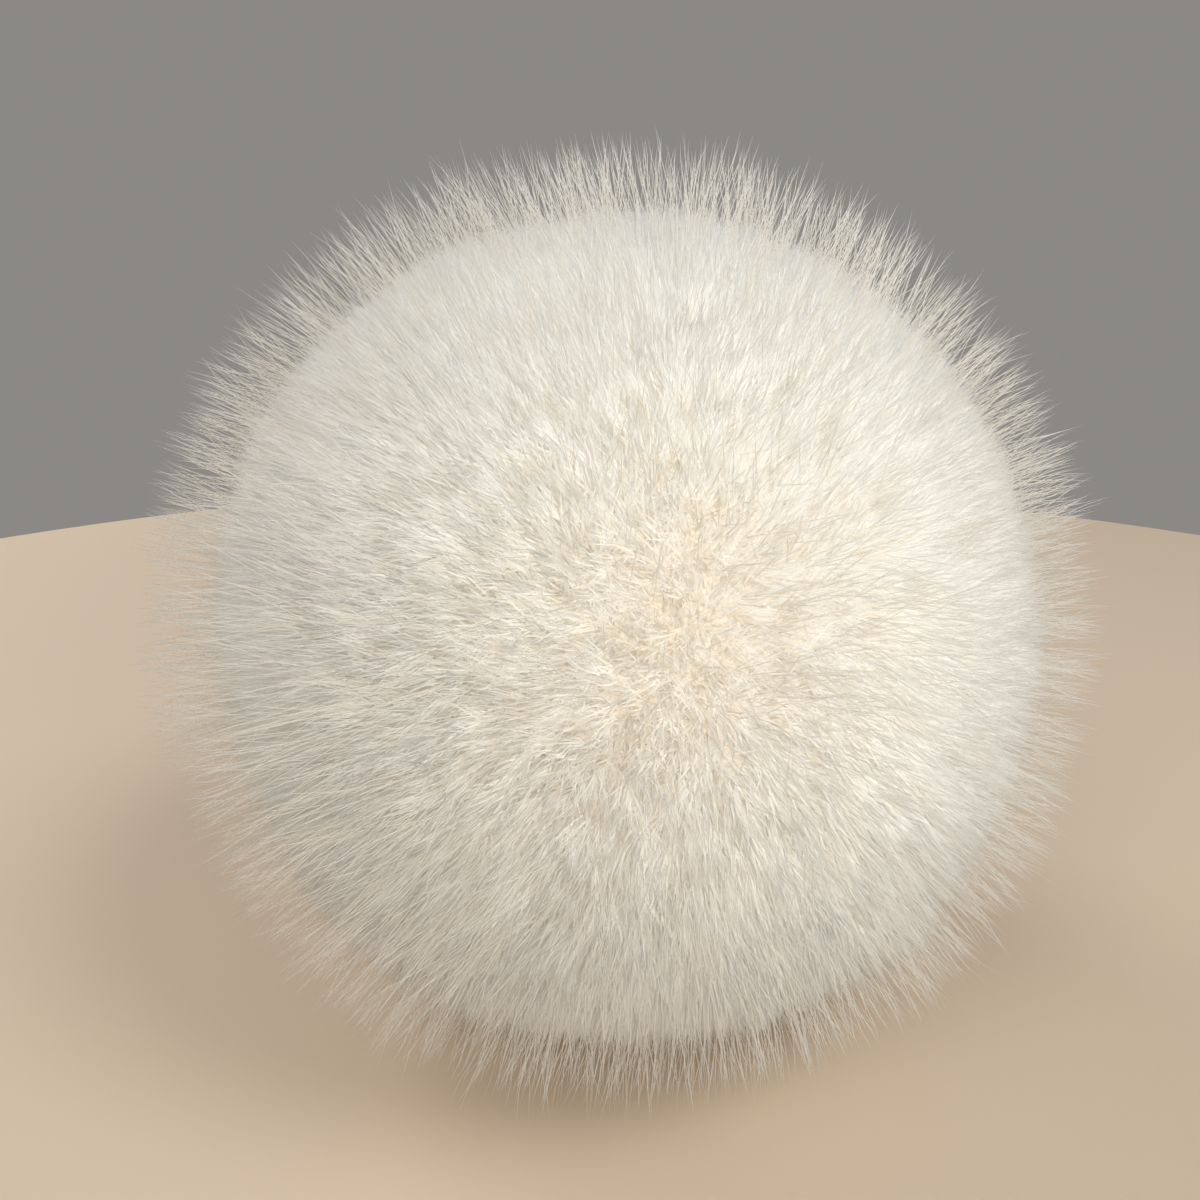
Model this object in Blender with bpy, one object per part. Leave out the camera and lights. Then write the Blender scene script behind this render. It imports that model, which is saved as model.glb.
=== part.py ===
"""A plush pom pom: one stuffed ball of long-pile fur, resting on the spot its weight has flattened.

The ball is one closed solid, because the fur is one disc of cloth gathered round its stuffing. Its
surface is the envelope of the guard hairs' tips: a sphere that broad swells and soft tufts make a
little uneven, and that rolls under into a flat foot. Metres, +Z up, with the origin at the middle of
the foot.
"""

import math
from collections import namedtuple

import bmesh
import bpy
from mathutils import Vector

# The ball
TIP_RADIUS = 0.060  # from the ball's centre to the tips of its longest common hairs
CENTRE_HEIGHT = 0.051  # of the ball's centre over the surface that it rests on
SPHERE_DIVISIONS = 5  # of the icosphere: triangles about 4.5 mm wide
SAME_PLACE = 1e-7  # the distance within which a point counts as lying on the foot's plane

# The foot
ROLL_UNDER = 0.0035  # height over which the side turns under into the foot
ROLL_ENDS = 0.035  # height past which the side is left as it is
FOOT_TRIM = 0.0003  # what the flat cut takes off the rolled-under fur
BULGE = 0.0014  # how far the squashed fur stands out round the foot
BULGE_HEIGHT = 0.016  # of the widest part of that bulge over the foot

# Tufts: the pile parts into soft points, which are spread evenly over the ball
TUFT_COUNT = 96
TUFT_RISE = 0.0012  # of a tuft's point over the hollows between tufts
TUFT_HALF_WIDTH = math.radians(13.0)
TUFT_EVENNESS = 0.75  # the mean of the tufts' heights, as a share of the tallest's
TUFT_TURN = 2.4  # radians between neighbours in the wave that sets each tuft's height
GOLDEN_ANGLE = math.pi * (3.0 - math.sqrt(5.0))

# Broad swells of the whole outline. Azimuth 0 is +X, the right-hand side seen from the front (-Y).
Swell = namedtuple("Swell", "azimuth elevation half_width rise_mm")  # angles in degrees
SWELLS = (
    Swell(azimuth=175.0, elevation=42.0, half_width=48.0, rise_mm=0.9),
    Swell(azimuth=70.0, elevation=58.0, half_width=40.0, rise_mm=0.7),
    Swell(azimuth=350.0, elevation=10.0, half_width=42.0, rise_mm=-0.9),
    Swell(azimuth=215.0, elevation=-18.0, half_width=36.0, rise_mm=-0.7),
    Swell(azimuth=300.0, elevation=-12.0, half_width=34.0, rise_mm=0.6),
    Swell(azimuth=120.0, elevation=-5.0, half_width=45.0, rise_mm=0.5),
)

# Finish
FUR_COLOUR = (0.83, 0.80, 0.73, 1.0)  # ivory white, linear
FUR_ROUGHNESS = 0.85


def clear_scene():
    for obj in list(bpy.data.objects):
        bpy.data.objects.remove(obj)


def fur_material():
    """Ivory fur: matt, with a little sheen from the light that grazes the pile."""
    material = bpy.data.materials.new("fur")
    material.use_nodes = True
    shader = material.node_tree.nodes["Principled BSDF"]
    shader.inputs["Base Color"].default_value = FUR_COLOUR
    shader.inputs["Roughness"].default_value = FUR_ROUGHNESS
    shader.inputs["Metallic"].default_value = 0.0
    shader.inputs["Sheen Weight"].default_value = 0.3
    return material


def direction(azimuth, elevation):
    """The unit vector at these angles, in radians."""
    level = math.cos(elevation)
    return Vector((level * math.cos(azimuth), level * math.sin(azimuth), math.sin(elevation)))


def tuft_directions():
    """Directions spread evenly over a sphere along a golden spiral."""
    found = []
    for i in range(TUFT_COUNT):
        elevation = math.asin(1.0 - 2.0 * (i + 0.5) / TUFT_COUNT)
        found.append(direction(i * GOLDEN_ANGLE, elevation))
    return found


def rounded(share):
    """1 at share 0, falling smoothly to 0 at share 1 and staying there."""
    if share >= 1.0:
        return 0.0
    return 0.5 + 0.5 * math.cos(math.pi * share)


def swell_rise(outward):
    rise = 0.0
    for swell in SWELLS:
        middle = direction(math.radians(swell.azimuth), math.radians(swell.elevation))
        share = outward.angle(middle) / math.radians(swell.half_width)
        rise += swell.rise_mm / 1000.0 * rounded(share)
    return rise


def tuft_rise(outward, tufts):
    """Rise over the hollows between tufts. A tuft's place in the spiral sets its own height."""
    best = 0.0
    for i, middle in enumerate(tufts):
        share = outward.angle(middle) / TUFT_HALF_WIDTH
        height = TUFT_RISE * (TUFT_EVENNESS + (1.0 - TUFT_EVENNESS) * math.sin(TUFT_TURN * i))
        best = max(best, height * rounded(share))
    return best


def rolled_under(height):
    """A height over the foot, eased so that what would lie below the foot turns under onto it."""
    if height > ROLL_ENDS:
        return height
    ease = ROLL_UNDER / 2.0
    return ease * math.log1p(math.exp(height / ease))


def bulge(height):
    """How far the fur stands out at this height over the foot."""
    return BULGE * rounded(abs(height - BULGE_HEIGHT) / BULGE_HEIGHT)


def shape_ball(mesh):
    tufts = tuft_directions()
    for vert in mesh.verts:
        outward = vert.co.normalized()
        point = outward * (TIP_RADIUS + swell_rise(outward) + tuft_rise(outward, tufts))
        height = rolled_under(point.z + CENTRE_HEIGHT)
        level = Vector((point.x, point.y, 0.0))
        if level.length > 0.0:
            level += level.normalized() * bulge(height)
        vert.co = Vector((level.x, level.y, height))


def cut_foot(mesh):
    """Cuts the rolled-under fur off flat, closes the cut with one face, and stands that face on Z = 0."""
    bmesh.ops.bisect_plane(
        mesh,
        geom=mesh.verts[:] + mesh.edges[:] + mesh.faces[:],
        dist=SAME_PLACE,
        plane_co=(0.0, 0.0, FOOT_TRIM),
        plane_no=(0.0, 0.0, 1.0),
        clear_inner=True,
    )
    rim = [edge for edge in mesh.edges if edge.is_boundary]
    bmesh.ops.holes_fill(mesh, edges=rim, sides=len(rim))
    bmesh.ops.translate(mesh, verts=mesh.verts[:], vec=(0.0, 0.0, -FOOT_TRIM))


def centre_on_origin(mesh):
    """Moves the ball sideways so that the origin is at the middle of its width and depth."""
    for axis in (0, 1):
        places = [vert.co[axis] for vert in mesh.verts]
        middle = (min(places) + max(places)) / 2.0
        for vert in mesh.verts:
            vert.co[axis] -= middle


def make_fur_ball(material):
    mesh = bmesh.new()
    bmesh.ops.create_icosphere(mesh, subdivisions=SPHERE_DIVISIONS, radius=TIP_RADIUS)
    shape_ball(mesh)
    cut_foot(mesh)
    centre_on_origin(mesh)
    bmesh.ops.recalc_face_normals(mesh, faces=mesh.faces[:])
    data = bpy.data.meshes.new("fur_ball")
    mesh.to_mesh(data)
    mesh.free()
    data.shade_smooth()
    data.materials.append(material)
    ball = bpy.data.objects.new("fur_ball", data)
    bpy.context.scene.collection.objects.link(ball)
    return ball


def main():
    clear_scene()
    make_fur_ball(fur_material())


main()
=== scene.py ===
"""A plush pom pom of long ivory faux fur: its pile, grown out to the frame's ball. Metres, +Z up.

The fur has three coats on a matted core. Fine underfur stands close in small wisps, middle hairs soften
its edge, and guard hairs stand out past it as the fringe. Each hair is a tapered strand of mesh.
"""

import math
from collections import namedtuple

import bmesh
import bpy
import numpy as np
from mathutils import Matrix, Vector
from mathutils.bvhtree import BVHTree


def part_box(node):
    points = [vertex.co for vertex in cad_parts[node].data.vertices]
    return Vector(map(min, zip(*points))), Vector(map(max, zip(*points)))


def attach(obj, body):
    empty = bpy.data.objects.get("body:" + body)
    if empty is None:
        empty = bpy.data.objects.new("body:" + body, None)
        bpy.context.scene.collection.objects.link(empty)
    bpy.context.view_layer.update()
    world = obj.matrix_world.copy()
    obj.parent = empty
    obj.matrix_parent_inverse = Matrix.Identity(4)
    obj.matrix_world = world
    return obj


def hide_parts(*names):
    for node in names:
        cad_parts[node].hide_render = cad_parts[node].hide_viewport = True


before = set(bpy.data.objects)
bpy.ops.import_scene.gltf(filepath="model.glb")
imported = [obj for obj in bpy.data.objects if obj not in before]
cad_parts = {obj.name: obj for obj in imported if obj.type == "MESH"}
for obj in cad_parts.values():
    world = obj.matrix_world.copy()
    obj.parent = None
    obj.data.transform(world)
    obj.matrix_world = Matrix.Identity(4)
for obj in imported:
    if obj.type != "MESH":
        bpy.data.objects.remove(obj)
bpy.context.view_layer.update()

NODE = "fur_ball"
BODY = "root"
SEED = 20
GOLDEN_TURN = 3.0 - math.sqrt(5.0)  # half-turns between neighbours on a golden spiral
NEARLY_UP = 0.9  # the height of a unit vector past which up is no help in finding its tangents
TINY = 1e-12  # the least length that a vector is divided by

# The ball, from the frame: its tips' radius, its centre and the surface that it rests on
low, high = (np.array(corner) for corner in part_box(NODE))
RADIUS = float(high[0] - low[0] + high[1] - low[1]) / 4.0
CENTRE = np.array([(low[0] + high[0]) / 2.0, (low[1] + high[1]) / 2.0, high[2] - RADIUS])
FLOOR = float(low[2])
LEAST_REACH = 0.98 * RADIUS  # of the pile before the ball's weight pressed its foot flat

# How the pile lies. A lean is sideways, as a share of a hair's length.
WHORL = np.array([0.18, -0.93, 0.32])  # the side round which the hairs are painted creamier and darker: painted shade of the deep pile, seen down the hairs
WHORL_SIZE = 0.045  # of the patch of painted shade, as 1 - cos of the angle over which it fades by a factor of e
WHORL_PAINTED_SHADE = 0.5  # the share of a hair's whiteness that the painted shade takes off at the middle of the whorl
LONG_SIDE = np.array([-0.7, 0.0, 0.7])  # the hairs grow longest at the upper left
BRUSHED = np.array([-0.14, 0.0, 0.02])  # the lean that the whole pile shares
FLOW_LEAN = 0.13  # the lean that neighbours share
FLOW_WAVES = 14
FLOW_WAVELENGTH = (0.012, 0.034)
JITTER = 0.35  # of a tuft's place, as a share of the gap between tufts
SAG_SPREAD = 0.6  # how far the ways in which hairs bow differ
SHADE_BY_TUFT = 0.24  # how much of the whiteness differs from tuft to tuft
SHADE_BY_HAIR = 0.24

# Where the ball's weight lays the pile along the floor
LOWEST_HAIR = 0.0004  # over the floor
LYING_DEPTH = 0.0014  # of the layer of hairs that lie on it
BEND_HEIGHT = 0.0008  # over which a hair eases into lying
BEND_ENDS = 20.0  # bend heights past which a hair is left as it is
OUTWARD_NUDGE = 1e-4  # sideways, so that a hair that points straight down bends outward

# The coats. Roots and tips are shares of the ball's reach, a width is a share of the gap between tufts, and
# rings are places along a hair. Roundness 1 shades each hair as a round wire, and 0 as part of its wisp;
# wisp is how far that wisp's sides turn away from the ball's surface. One-sided lengthens the long side.
Coat = namedtuple(
    "Coat",
    "tufts per_tuft tuft_width gather root tip tip_by_tuft tip_by_hair lean_by_tuft lean_by_hair curve"
    " rings radii roundness wisp one_sided",
)
UNDERFUR = Coat(
    tufts=9000, per_tuft=25, tuft_width=0.70, gather=(0.0, 0.36), root=0.78, tip=0.893, tip_by_tuft=0.009,
    tip_by_hair=0.013, lean_by_tuft=0.15, lean_by_hair=0.15, curve=0.0, rings=(0.0,), radii=(0.00021,),
    roundness=0.10, wisp=0.60, one_sided=0.0,
)
MIDDLE_HAIRS = Coat(
    tufts=6000, per_tuft=8, tuft_width=0.7, gather=(0.0, 0.45), root=0.82, tip=0.908, tip_by_tuft=0.010,
    tip_by_hair=0.018, lean_by_tuft=0.15, lean_by_hair=0.12, curve=0.0, rings=(0.0,), radii=(0.00012,),
    roundness=0.35, wisp=0.55, one_sided=0.006,
)
GUARD_HAIRS = Coat(
    tufts=3000, per_tuft=4, tuft_width=0.8, gather=(0.0, 0.4), root=0.84, tip=1.034, tip_by_tuft=0.010,
    tip_by_hair=0.013, lean_by_tuft=0.12, lean_by_hair=0.13, curve=0.05, rings=(0.0, 0.8),
    radii=(0.000045, 0.00004), roundness=0.55, wisp=0.0, one_sided=0.022,
)
THICKNESS = (0.8, 1.2)  # of the longer hairs, as shares of their coat's radii
UNDERFUR_PIECES = 4
SHEER_PIECES = 3  # of those, which cast no shadow, so that light reaches the roots
CORE = 0.79  # share of the ball's reach
CORE_DIVISIONS = 6
CORE_CLEARANCE = 0.001  # over the floor

# Hairs: their points from root to tip, the way that each one's wisp faces, and each one's whiteness with the
# painted shade at the whorl
Hairs = namedtuple("Hairs", "paths facing shades")

# Finishes. Colours are linear, and each root colour is darker and warmer than its tip: painted shade of the
# pile's depth. Through is the share of light that a hair scatters on instead of back.
Finish = namedtuple("Finish", "root middle tip roughness sheen through")
UNDERFUR_FINISH = Finish(
    root=(0.90, 0.85, 0.77), middle=(0.955, 0.945, 0.905), tip=(0.975, 0.98, 0.965), roughness=0.7,
    sheen=0.2, through=0.0,
)
HAIR_FINISH = Finish(
    root=(0.90, 0.86, 0.79), middle=(0.955, 0.945, 0.905), tip=(0.975, 0.98, 0.965), roughness=0.4,
    sheen=0.1, through=0.25,
)
GUARD_FINISH = Finish(
    root=(0.91, 0.88, 0.82), middle=(0.95, 0.94, 0.91), tip=(0.97, 0.97, 0.955), roughness=0.28,
    sheen=0.0, through=0.25,
)
ROOT_ENDS = 0.25  # the places along a hair where its root colour, the painted shade, ends and its middle colour lies
MIDDLE_AT = 0.6
HAIR_SPECULAR = 0.35
CREAM = (0.91, 0.85, 0.77, 1.0)  # the tint of the creamiest strands, and of the painted shade at the whorl
WHITE = (1.0, 1.0, 1.0, 1.0)
LET_THROUGH = (0.935, 0.928, 0.910, 1.0)  # of a lamp's light, by each side of a hair

CORE_ROUGHNESS = 0.9
# Painted shade: both core colours are darker and warmer than the hairs, standing in for the shaded depth of
# the pile; the noise between them mottles it as fibres.
CORE_DARK = (0.72, 0.65, 0.56, 1.0)
CORE_LIGHT = (0.92, 0.89, 0.83, 1.0)
CORE_FROM, CORE_TO = 0.38, 0.62  # the noise's values that take those two colours
CORE_FIBRES = 2400.0  # to the metre
CORE_FIBRE_DETAIL = 3.0
CORE_BUMP = 0.6
CORE_BUMP_DEPTH = 0.0004

# A strand's mesh
SIDES = 3
LAYOUT_MARGIN = 0.08  # left empty round a strand, as a share of its cell in the layout
ALONG = "along"  # the name of the value that is 0 at a strand's root and 1 at its tip
WHITENESS_AND_SHADE = "strand"  # the name of the value that is a strand's whiteness, with the painted shade at the whorl

# The stage and the lamps, in metres and watts, and the camera, with its sensor and lens in millimetres
STAGE_RADIUS = 0.31
STAGE_SEGMENTS = 128
STAGE_COLOUR = (0.74, 0.60, 0.46, 1.0)
STAGE_ROUGHNESS = 0.8
WORLD_COLOUR = (0.26, 0.25, 0.235, 1.0)
Lamp = namedtuple("Lamp", "name place size power colour")
LAMPS = (
    Lamp(name="key", place=(0.45, -0.26, 0.79), size=0.35, power=2.75, colour=(0.955, 0.99, 1.0)),
    Lamp(name="low_fill", place=(0.42, -0.62, 0.06), size=0.50, power=3.1, colour=(1.0, 0.95, 0.87)),
    Lamp(name="high_fill", place=(-0.34, -0.58, 0.72), size=0.40, power=1.25, colour=(0.98, 1.0, 1.0)),
    Lamp(name="left_fill", place=(-0.66, -0.50, 0.14), size=0.40, power=0.7, colour=(1.0, 0.97, 0.92)),
    Lamp(name="back_fill", place=(-0.60, 0.50, 0.50), size=0.50, power=2.8, colour=(1.0, 0.99, 0.97)),
)
CAMERA_SENSOR = 36.0
CAMERA_LENS = 36.0
CAMERA_DISTANCE = 2.768 * RADIUS
CAMERA_ELEVATION = math.radians(19.15)
LOOK_UP = 0.0183  # how far off the ball's centre the camera looks, as shares of its distance
LOOK_LEFT = 0.0208


def unit(vectors):
    return vectors / np.maximum(np.linalg.norm(vectors, axis=-1, keepdims=True), TINY)


def gap_between(count):
    """The gap between this many points spread evenly over a unit sphere."""
    return math.sqrt(4.0 * math.pi / count)


def spread_directions(count, rng):
    """Directions spread evenly over a sphere, along a golden spiral, each moved a little."""
    steps = np.arange(count) + 0.5
    z = 1.0 - 2.0 * steps / count
    turn = steps * math.pi * GOLDEN_TURN
    level = np.sqrt(1.0 - z * z)
    found = np.stack([level * np.cos(turn), level * np.sin(turn), z], 1)
    return unit(found + rng.normal(0.0, JITTER * gap_between(count), found.shape))


def tangents(directions):
    """Two unit vectors at right angles to each direction and to each other."""
    helper = np.where(np.abs(directions[:, 2:3]) < NEARLY_UP, [[0.0, 0.0, 1.0]], [[1.0, 0.0, 0.0]])
    first = unit(np.cross(directions, helper))
    return first, np.cross(directions, first)


def disc(count, rng):
    """Points spread evenly over a unit disc."""
    reach = np.sqrt(rng.uniform(0.0, 1.0, count))
    turn = rng.uniform(0.0, 2.0 * math.pi, count)
    return reach * np.cos(turn), reach * np.sin(turn)


class Flow:
    """A smooth field of vectors, which makes neighbouring hairs lean the same way."""

    def __init__(self, rng):
        lengths = rng.uniform(*FLOW_WAVELENGTH, FLOW_WAVES)
        self.waves = unit(rng.normal(size=(FLOW_WAVES, 3))) * (2.0 * math.pi / lengths)[:, None]
        self.phases = rng.uniform(0.0, 2.0 * math.pi, FLOW_WAVES)
        self.ways = unit(rng.normal(size=(FLOW_WAVES, 3)))

    def at(self, points):
        return np.sin(points @ self.waves.T + self.phases) @ self.ways / math.sqrt(FLOW_WAVES / 2.0)


def reach_of(directions):
    """How far the pile reaches from the ball's centre in each direction, before the floor presses it."""
    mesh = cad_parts[NODE].data
    tree = BVHTree.FromPolygons([v.co for v in mesh.vertices], [p.vertices[:] for p in mesh.polygons])
    start = Vector(CENTRE)
    reach = np.array([tree.ray_cast(start, Vector(d))[3] or RADIUS for d in directions])
    return np.maximum(reach, LEAST_REACH)


def eased_above(heights, rest):
    """Heights brought up smoothly to each hair's own resting height."""
    rise = (heights - rest) / BEND_HEIGHT
    eased = np.log1p(np.exp(np.minimum(rise, BEND_ENDS)))
    return rest + BEND_HEIGHT * np.where(rise > BEND_ENDS, rise, eased)


def laid_on_floor(paths, rng):
    """Bends the hairs that would go through the floor out along it, at their full length."""
    steps = np.diff(paths, axis=1)
    lengths = np.linalg.norm(steps, axis=2)
    bent = paths.copy()
    rest = FLOOR + LOWEST_HAIR + rng.uniform(0.0, LYING_DEPTH, len(paths))
    bent[:, 0, 2] = np.maximum(bent[:, 0, 2], rest)
    for i in range(1, paths.shape[1]):
        fall = eased_above(paths[:, i, 2], rest) - bent[:, i - 1, 2]
        fall = np.clip(fall, -lengths[:, i - 1], lengths[:, i - 1])
        level = steps[:, i - 1, :2] + OUTWARD_NUDGE * unit(paths[:, i, :2] - CENTRE[:2])
        out = np.sqrt(np.maximum(lengths[:, i - 1] ** 2 - fall**2, 0.0))
        bent[:, i, :2] = bent[:, i - 1, :2] + unit(level) * out[:, None]
        bent[:, i, 2] = bent[:, i - 1, 2] + fall
    return bent


def planted(coat, rng):
    """Each hair's tuft, and three unit vectors: to its root, the way it aims and the way its wisp faces."""
    tuft = np.repeat(np.arange(coat.tufts), coat.per_tuft)
    heart = spread_directions(coat.tufts, rng)[tuft]
    a, b = disc(len(tuft), rng)
    first, second = tangents(heart)
    off_heart = a[:, None] * first + b[:, None] * second
    roots = unit(heart + coat.tuft_width * gap_between(coat.tufts) * off_heart)
    gather = rng.uniform(*coat.gather, coat.tufts)[tuft][:, None]
    aims = unit(roots + gather * (heart - roots))
    return tuft, roots, aims, unit(roots + coat.wisp * off_heart)


def tip_shares(coat, tuft, aims, rng):
    """How far out each hair's tip is, as a share of the ball's reach."""
    tips = coat.tip + coat.tip_by_tuft * rng.normal(size=coat.tufts)[tuft]
    tips = tips + coat.tip_by_hair * rng.normal(size=len(tuft))
    return tips + coat.one_sided * (aims @ LONG_SIDE)


def leans(coat, tuft, aims, start, rng, flow):
    """Each hair's lean: what the pile, its neighbourhood and its tuft share, and its own."""
    lean = BRUSHED + FLOW_LEAN * flow.at(start)
    lean = lean + coat.lean_by_tuft * rng.normal(size=(coat.tufts, 3))[tuft]
    lean = lean + coat.lean_by_hair * rng.normal(size=(len(tuft), 3))
    return lean - aims * (lean * aims).sum(1, keepdims=True)


def bowed(paths, share, aims, length, coat, rng):
    """Paths bowed to one side or another, most at the middle of their length."""
    way = unit(paths[:, -1] - paths[:, 0])
    sag = (aims + SAG_SPREAD * rng.normal(size=aims.shape)) * (coat.curve * length)[:, None]
    sag -= way * (sag * way).sum(1, keepdims=True)
    return paths - (share * (1.0 - share)) * 4.0 * sag[:, None]


def whiteness_and_whorl_shade(coat, tuft, roots, rng):
    """Each hair's whiteness from 0 to 1: its own tone, which differs at random, less the painted shade round
    the whorl.
    """
    by_tuft = SHADE_BY_TUFT * rng.uniform(0.0, 1.0, coat.tufts)[tuft]
    by_hair = SHADE_BY_HAIR * rng.uniform(0.0, 1.0, len(tuft))
    # Painted shade: the hairs round the whorl are made creamier and darker, standing in for the shaded depth
    # of the pile.
    whorl_shade = WHORL_PAINTED_SHADE * np.exp((roots @ WHORL - 1.0) / WHORL_SIZE)
    return (1.0 - by_tuft - by_hair) * (1.0 - whorl_shade)


def grown(coat, rng, flow):
    """A coat's hairs, from their roots out to their tips."""
    tuft, roots, aims, facing = planted(coat, rng)
    reach = reach_of(aims)
    tips = tip_shares(coat, tuft, aims, rng)
    start = CENTRE + roots * (reach * coat.root)[:, None]
    length = reach * (tips - coat.root)
    lean = leans(coat, tuft, aims, start, rng, flow)
    end = CENTRE + aims * (reach * tips)[:, None] + lean * length[:, None]
    share = np.array([*coat.rings, 1.0])[None, :, None]
    paths = start[:, None] * (1.0 - share) + end[:, None] * share
    if coat.curve:
        paths = bowed(paths, share, aims, length, coat, rng)
    shades = whiteness_and_whorl_shade(coat, tuft, roots, rng)
    return Hairs(laid_on_floor(paths, rng), facing, shades)


def cells(roots):
    """A square grid's cell for each root, so that neighbours on the ball are neighbours in the grid."""
    side = math.ceil(math.sqrt(len(roots)))
    out = unit(roots - CENTRE)
    rank = np.empty(len(roots), int)
    rank[np.argsort(out[:, 2])] = np.arange(len(roots))
    place = np.empty(len(roots), int)
    place[np.lexsort((np.arctan2(out[:, 1], out[:, 0]), rank // side))] = np.arange(len(roots))
    return np.stack([place % side, place // side], 1), side


def strand_points(hairs, radii, roundness):
    """Rings of points along each hair and a point at its tip, with a normal for each."""
    count, rings = hairs.paths.shape[0], hairs.paths.shape[1] - 1
    along = unit(hairs.paths[:, -1] - hairs.paths[:, 0])
    first, second = tangents(along)
    turn = 2.0 * math.pi * np.arange(SIDES) / SIDES
    around = np.cos(turn)[None, :, None] * first[:, None] + np.sin(turn)[None, :, None] * second[:, None]
    rims = hairs.paths[:, :-1, None, :] + around[:, None] * radii[:, :, None, None]
    points = np.concatenate([rims.reshape(count, rings * SIDES, 3), hairs.paths[:, -1:, :]], 1)
    own = np.concatenate([np.tile(around, (1, rings, 1)), along[:, None]], 1)
    normals = unit(roundness * own + (1.0 - roundness) * hairs.facing[:, None])
    return points, normals


def strand_faces(rings):
    """One strand's triangles, and their corners' places in its cell: -1 to 1 across it, and the ring."""
    tip = rings * SIDES
    faces, corners = [], []
    for ring in range(rings):
        for side in range(SIDES):
            a = ring * SIDES + side
            b = ring * SIDES + (side + 1) % SIDES
            left, right = (-1, ring), (1, ring)
            if ring == rings - 1:
                faces += [(a, b, tip)]
                corners += [left, right, (0, rings)]
                continue
            far_left, far_right = (-1, ring + 1), (1, ring + 1)
            faces += [(a, b, b + SIDES), (a, b + SIDES, a + SIDES)]
            corners += [left, right, far_right, left, far_right, far_left]
    return np.array(faces), np.array(corners, float)


def joined_mesh(name, points, normals, faces):
    """One mesh of all the strands, with its normals set."""
    mesh = bpy.data.meshes.new(name)
    mesh.vertices.add(points.size // 3)
    mesh.vertices.foreach_set("co", points.astype(np.float32).ravel())
    mesh.loops.add(faces.size)
    mesh.loops.foreach_set("vertex_index", faces.astype(np.int32).ravel())
    mesh.polygons.add(len(faces))
    mesh.polygons.foreach_set("loop_start", np.arange(0, faces.size, 3, dtype=np.int32))
    mesh.update(calc_edges=True)
    mesh.shade_smooth()
    mesh.normals_split_custom_set_from_vertices(normals.reshape(-1, 3).astype(np.float32))
    return mesh


def add_layout(mesh, roots, corners, rings):
    """Lays the strands out flat, each in a cell of its own, for the bake of the fur's colour."""
    cell, side = cells(roots)
    across = 0.5 + (0.5 - LAYOUT_MARGIN) * corners[:, 0]
    upward = LAYOUT_MARGIN + (1.0 - 2.0 * LAYOUT_MARGIN) * corners[:, 1] / rings
    uv = (cell[:, None] + np.stack([across, upward], 1)[None]) / side
    mesh.uv_layers.new(name="OFBake").data.foreach_set("uv", uv.astype(np.float32).ravel())


def add_values(mesh, name, values):
    """Stores a number at each of a mesh's points, for its material to read."""
    attribute = mesh.attributes.new(name, "FLOAT", "POINT")
    attribute.data.foreach_set("value", values.astype(np.float32))


def strand_mesh(name, hairs, radii, roundness, material):
    """Joins hairs into one object, as tapered strands: rings of points, and one point at the tip.

    Their normals lie between each strand's own (roundness 1) and its wisp's (0), because soft fibre is
    lit as a mass and not hair by hair.
    """
    count, rings = hairs.paths.shape[0], hairs.paths.shape[1] - 1
    per_strand = rings * SIDES + 1
    points, normals = strand_points(hairs, radii, roundness)
    faces, corners = strand_faces(rings)
    firsts = per_strand * np.arange(count)[:, None, None]
    mesh = joined_mesh(name, points, normals, (faces[None] + firsts).reshape(-1, 3))
    add_layout(mesh, hairs.paths[:, 0], corners, rings)
    along = np.repeat(np.linspace(0.0, 1.0, rings + 1)[:-1], SIDES)
    add_values(mesh, ALONG, np.tile([*along, 1.0], count))
    add_values(mesh, WHITENESS_AND_SHADE, np.repeat(hairs.shades, per_strand))
    mesh.materials.append(material)
    strands = bpy.data.objects.new(name, mesh)
    # With an offset, the normals' tilt would start shadow rays inside the core and leave dark marks.
    strands.shadow_terminator_geometry_offset = 0.0
    bpy.context.scene.collection.objects.link(strands)
    return strands


def new_material(name, roughness):
    """A material, with its nodes, its links and its Principled shader."""
    material = bpy.data.materials.new(name)
    material.use_nodes = True
    tree = material.node_tree
    shader = tree.nodes["Principled BSDF"]
    shader.inputs["Roughness"].default_value = roughness
    return material, tree.nodes, tree.links, shader


def stored_value(nodes, name):
    """The number that a mesh's points store under this name."""
    attribute = nodes.new("ShaderNodeAttribute")
    attribute.attribute_name = name
    return attribute.outputs["Fac"]


def colour_ramp(nodes, links, value, stops):
    """The colour that a value takes between stops, which are pairs of a place and a colour, in order."""
    ramp = nodes.new("ShaderNodeValToRGB")
    elements = ramp.color_ramp.elements
    elements[0].position, elements[0].color = stops[0]
    elements[1].position, elements[1].color = stops[-1]
    for place, colour in stops[1:-1]:
        elements.new(place).color = colour
    links.new(value, ramp.inputs["Fac"])
    return ramp.outputs["Color"]


def hair_colour(nodes, links, finish):
    """A hair's colour from root to tip, darker at the root as painted shade of the pile's depth, and tinted
    by its own whiteness and by the painted shade at the whorl.
    """
    # Painted shade: the ramp darkens each hair towards its root, where the pile is shaded.
    stops = ((ROOT_ENDS, (*finish.root, 1.0)), (MIDDLE_AT, (*finish.middle, 1.0)), (1.0, (*finish.tip, 1.0)))
    lengthwise = colour_ramp(nodes, links, stored_value(nodes, ALONG), stops)
    tint = colour_ramp(nodes, links, stored_value(nodes, WHITENESS_AND_SHADE), ((0.0, CREAM), (1.0, WHITE)))
    product = nodes.new("ShaderNodeMix")
    product.data_type = "RGBA"
    product.blend_type = "MULTIPLY"
    product.inputs[0].default_value = 1.0  # the factor
    links.new(lengthwise, product.inputs[6])  # the two colours
    links.new(tint, product.inputs[7])
    return product.outputs[2]  # the colour made from them


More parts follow.
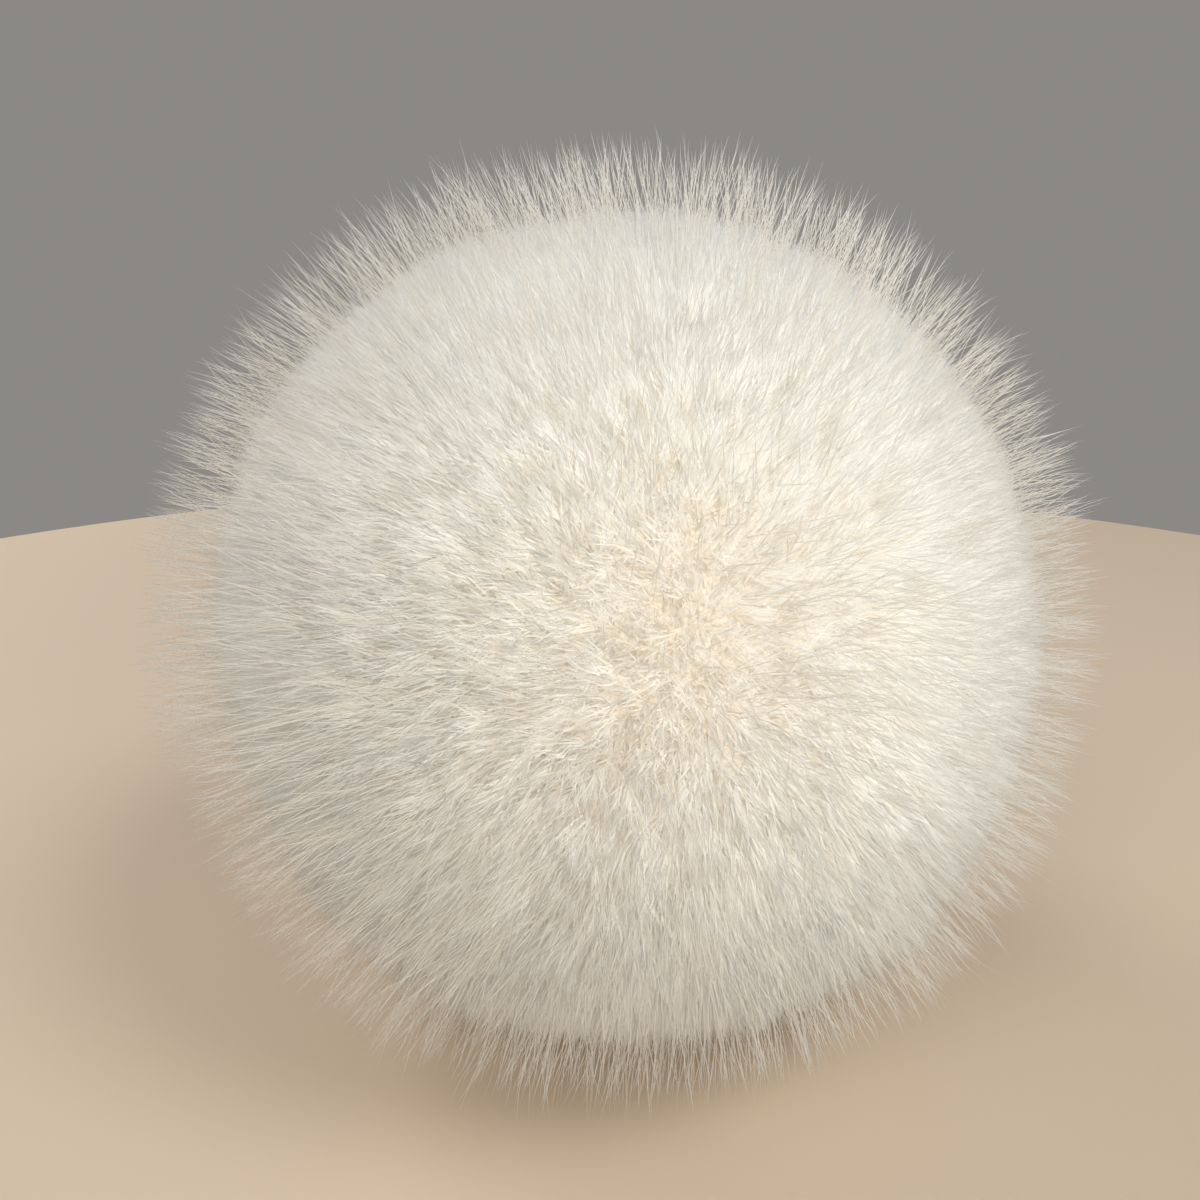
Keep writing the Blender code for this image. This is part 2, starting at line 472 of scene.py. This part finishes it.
def scattered_on(nodes, links, surface, colour, share):
    """The surface, with this share of its light scattered on through the hair."""
    through = nodes.new("ShaderNodeBsdfTranslucent")
    links.new(colour, through.inputs["Color"])
    both = nodes.new("ShaderNodeMixShader")
    both.inputs["Fac"].default_value = share
    links.new(surface, both.inputs[1])
    links.new(through.outputs["BSDF"], both.inputs[2])
    return both.outputs[0]


def let_lamps_through(nodes, links, surface):
    """The surface, through which lamps shine on the hairs behind it."""
    ray = nodes.new("ShaderNodeLightPath")
    clear = nodes.new("ShaderNodeBsdfTransparent")
    clear.inputs["Color"].default_value = LET_THROUGH
    both = nodes.new("ShaderNodeMixShader")
    links.new(ray.outputs["Is Shadow Ray"], both.inputs["Fac"])
    links.new(surface, both.inputs[1])
    links.new(clear.outputs["BSDF"], both.inputs[2])
    return both.outputs[0]


def fur_material(name, finish):
    material, nodes, links, shader = new_material(name, finish.roughness)
    shader.inputs["Sheen Weight"].default_value = finish.sheen
    shader.inputs["Specular IOR Level"].default_value = HAIR_SPECULAR
    colour = hair_colour(nodes, links, finish)
    links.new(colour, shader.inputs["Base Color"])
    surface = shader.outputs["BSDF"]
    if finish.through:
        surface = scattered_on(nodes, links, surface, colour, finish.through)
    links.new(let_lamps_through(nodes, links, surface), nodes["Material Output"].inputs["Surface"])
    return material


def make_underfur(rng, flow):
    """The underfur, shared out evenly among its pieces."""
    hairs = grown(UNDERFUR, rng, flow)
    material = fur_material("underfur", UNDERFUR_FINISH)
    made = []
    for i in range(UNDERFUR_PIECES):
        part = Hairs(*(values[i::UNDERFUR_PIECES] for values in hairs))
        radii = np.tile(UNDERFUR.radii, (len(part.paths), 1))
        piece = strand_mesh("underfur_%d" % (i + 1), part, radii, UNDERFUR.roundness, material)
        piece.visible_shadow = i >= SHEER_PIECES
        made.append(piece)
    return made


def make_hairs(name, coat, rng, flow, material):
    hairs = grown(coat, rng, flow)
    radii = np.array(coat.radii)[None] * rng.uniform(*THICKNESS, (len(hairs.paths), 1))
    return strand_mesh(name, hairs, radii, coat.roundness, material)


def core_material():
    """Matted fibre: light fibres over darker ones, in colour and in relief, its colours darker and warmer
    than the hairs' as painted shade of the pile's depth.
    """
    material, nodes, links, shader = new_material("fur_core", CORE_ROUGHNESS)
    place = nodes.new("ShaderNodeTexCoord")
    fibres = nodes.new("ShaderNodeTexNoise")
    fibres.inputs["Scale"].default_value = CORE_FIBRES
    fibres.inputs["Detail"].default_value = CORE_FIBRE_DETAIL
    links.new(place.outputs["Object"], fibres.inputs["Vector"])
    stops = ((CORE_FROM, CORE_DARK), (CORE_TO, CORE_LIGHT))
    links.new(colour_ramp(nodes, links, fibres.outputs["Fac"], stops), shader.inputs["Base Color"])
    bump = nodes.new("ShaderNodeBump")
    bump.inputs["Strength"].default_value = CORE_BUMP
    bump.inputs["Distance"].default_value = CORE_BUMP_DEPTH
    links.new(fibres.outputs["Fac"], bump.inputs["Height"])
    links.new(bump.outputs["Normal"], shader.inputs["Normal"])
    return material


def make_core():
    """The matted depth of the fur: a ball a little inside the pile, seen only between its tufts."""
    data = bpy.data.meshes.new("fur_core")
    mesh = bmesh.new()
    bmesh.ops.create_icosphere(mesh, subdivisions=CORE_DIVISIONS, radius=1.0)
    directions = np.array([vert.co.normalized() for vert in mesh.verts])
    reach = reach_of(directions) * CORE
    for vert, direction, far in zip(mesh.verts, directions, reach):
        place = CENTRE + direction * far
        place[2] = max(place[2], FLOOR + CORE_CLEARANCE)
        vert.co = place
    mesh.to_mesh(data)
    mesh.free()
    data.shade_smooth()
    data.materials.append(core_material())
    core = bpy.data.objects.new("fur_core", data)
    bpy.context.scene.collection.objects.link(core)
    return core


def make_stage():
    data = bpy.data.meshes.new("floor")
    mesh = bmesh.new()
    bmesh.ops.create_circle(mesh, cap_ends=True, segments=STAGE_SEGMENTS, radius=STAGE_RADIUS)
    mesh.to_mesh(data)
    mesh.free()
    material, nodes, links, shader = new_material("floor", STAGE_ROUGHNESS)
    shader.inputs["Base Color"].default_value = STAGE_COLOUR
    data.materials.append(material)
    floor = bpy.data.objects.new("floor", data)
    bpy.context.scene.collection.objects.link(floor)


def aim(obj, target):
    obj.rotation_mode = "QUATERNION"
    obj.rotation_quaternion = (Vector(target) - obj.location).to_track_quat("-Z", "Y")


def add_lamp(lamp):
    """A round soft lamp that shines on the ball and isn't seen itself."""
    data = bpy.data.lights.new(lamp.name, "AREA")
    data.shape = "DISK"
    data.size = lamp.size
    data.energy = lamp.power
    data.color = lamp.colour
    light = bpy.data.objects.new(lamp.name, data)
    light.location = lamp.place
    light.visible_camera = False
    bpy.context.scene.collection.objects.link(light)
    aim(light, CENTRE)


def make_lights():
    world = bpy.data.worlds.new("world")
    world.use_nodes = True
    background = world.node_tree.nodes["Background"]
    background.inputs["Color"].default_value = WORLD_COLOUR
    background.inputs["Strength"].default_value = 1.0
    bpy.context.scene.world = world
    for lamp in LAMPS:
        add_lamp(lamp)


def make_camera():
    """The camera, which looks down at the ball from in front."""
    data = bpy.data.cameras.new("camera")
    data.sensor_width = CAMERA_SENSOR
    data.lens = CAMERA_LENS
    camera = bpy.data.objects.new("camera", data)
    back = Vector((0.0, -math.cos(CAMERA_ELEVATION), math.sin(CAMERA_ELEVATION)))
    up = Vector((0.0, math.sin(CAMERA_ELEVATION), math.cos(CAMERA_ELEVATION)))
    camera.location = Vector(CENTRE) + CAMERA_DISTANCE * back
    bpy.context.scene.collection.objects.link(camera)
    bpy.context.scene.camera = camera
    aim(camera, Vector(CENTRE) + CAMERA_DISTANCE * (LOOK_UP * up + Vector((-LOOK_LEFT, 0.0, 0.0))))


def main():
    rng = np.random.default_rng(SEED)
    flow = Flow(rng)
    bpy.context.scene.view_settings.view_transform = "Standard"
    make_camera()
    make_lights()
    make_stage()
    core = make_core()
    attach(core, BODY)
    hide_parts(NODE)
    pieces = make_underfur(rng, flow)
    pieces.append(make_hairs("middle_hairs", MIDDLE_HAIRS, rng, flow, fur_material("hair", HAIR_FINISH)))
    pieces.append(make_hairs("guard_hairs", GUARD_HAIRS, rng, flow, fur_material("guard", GUARD_FINISH)))
    for piece in pieces:
        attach(piece, BODY)


main()
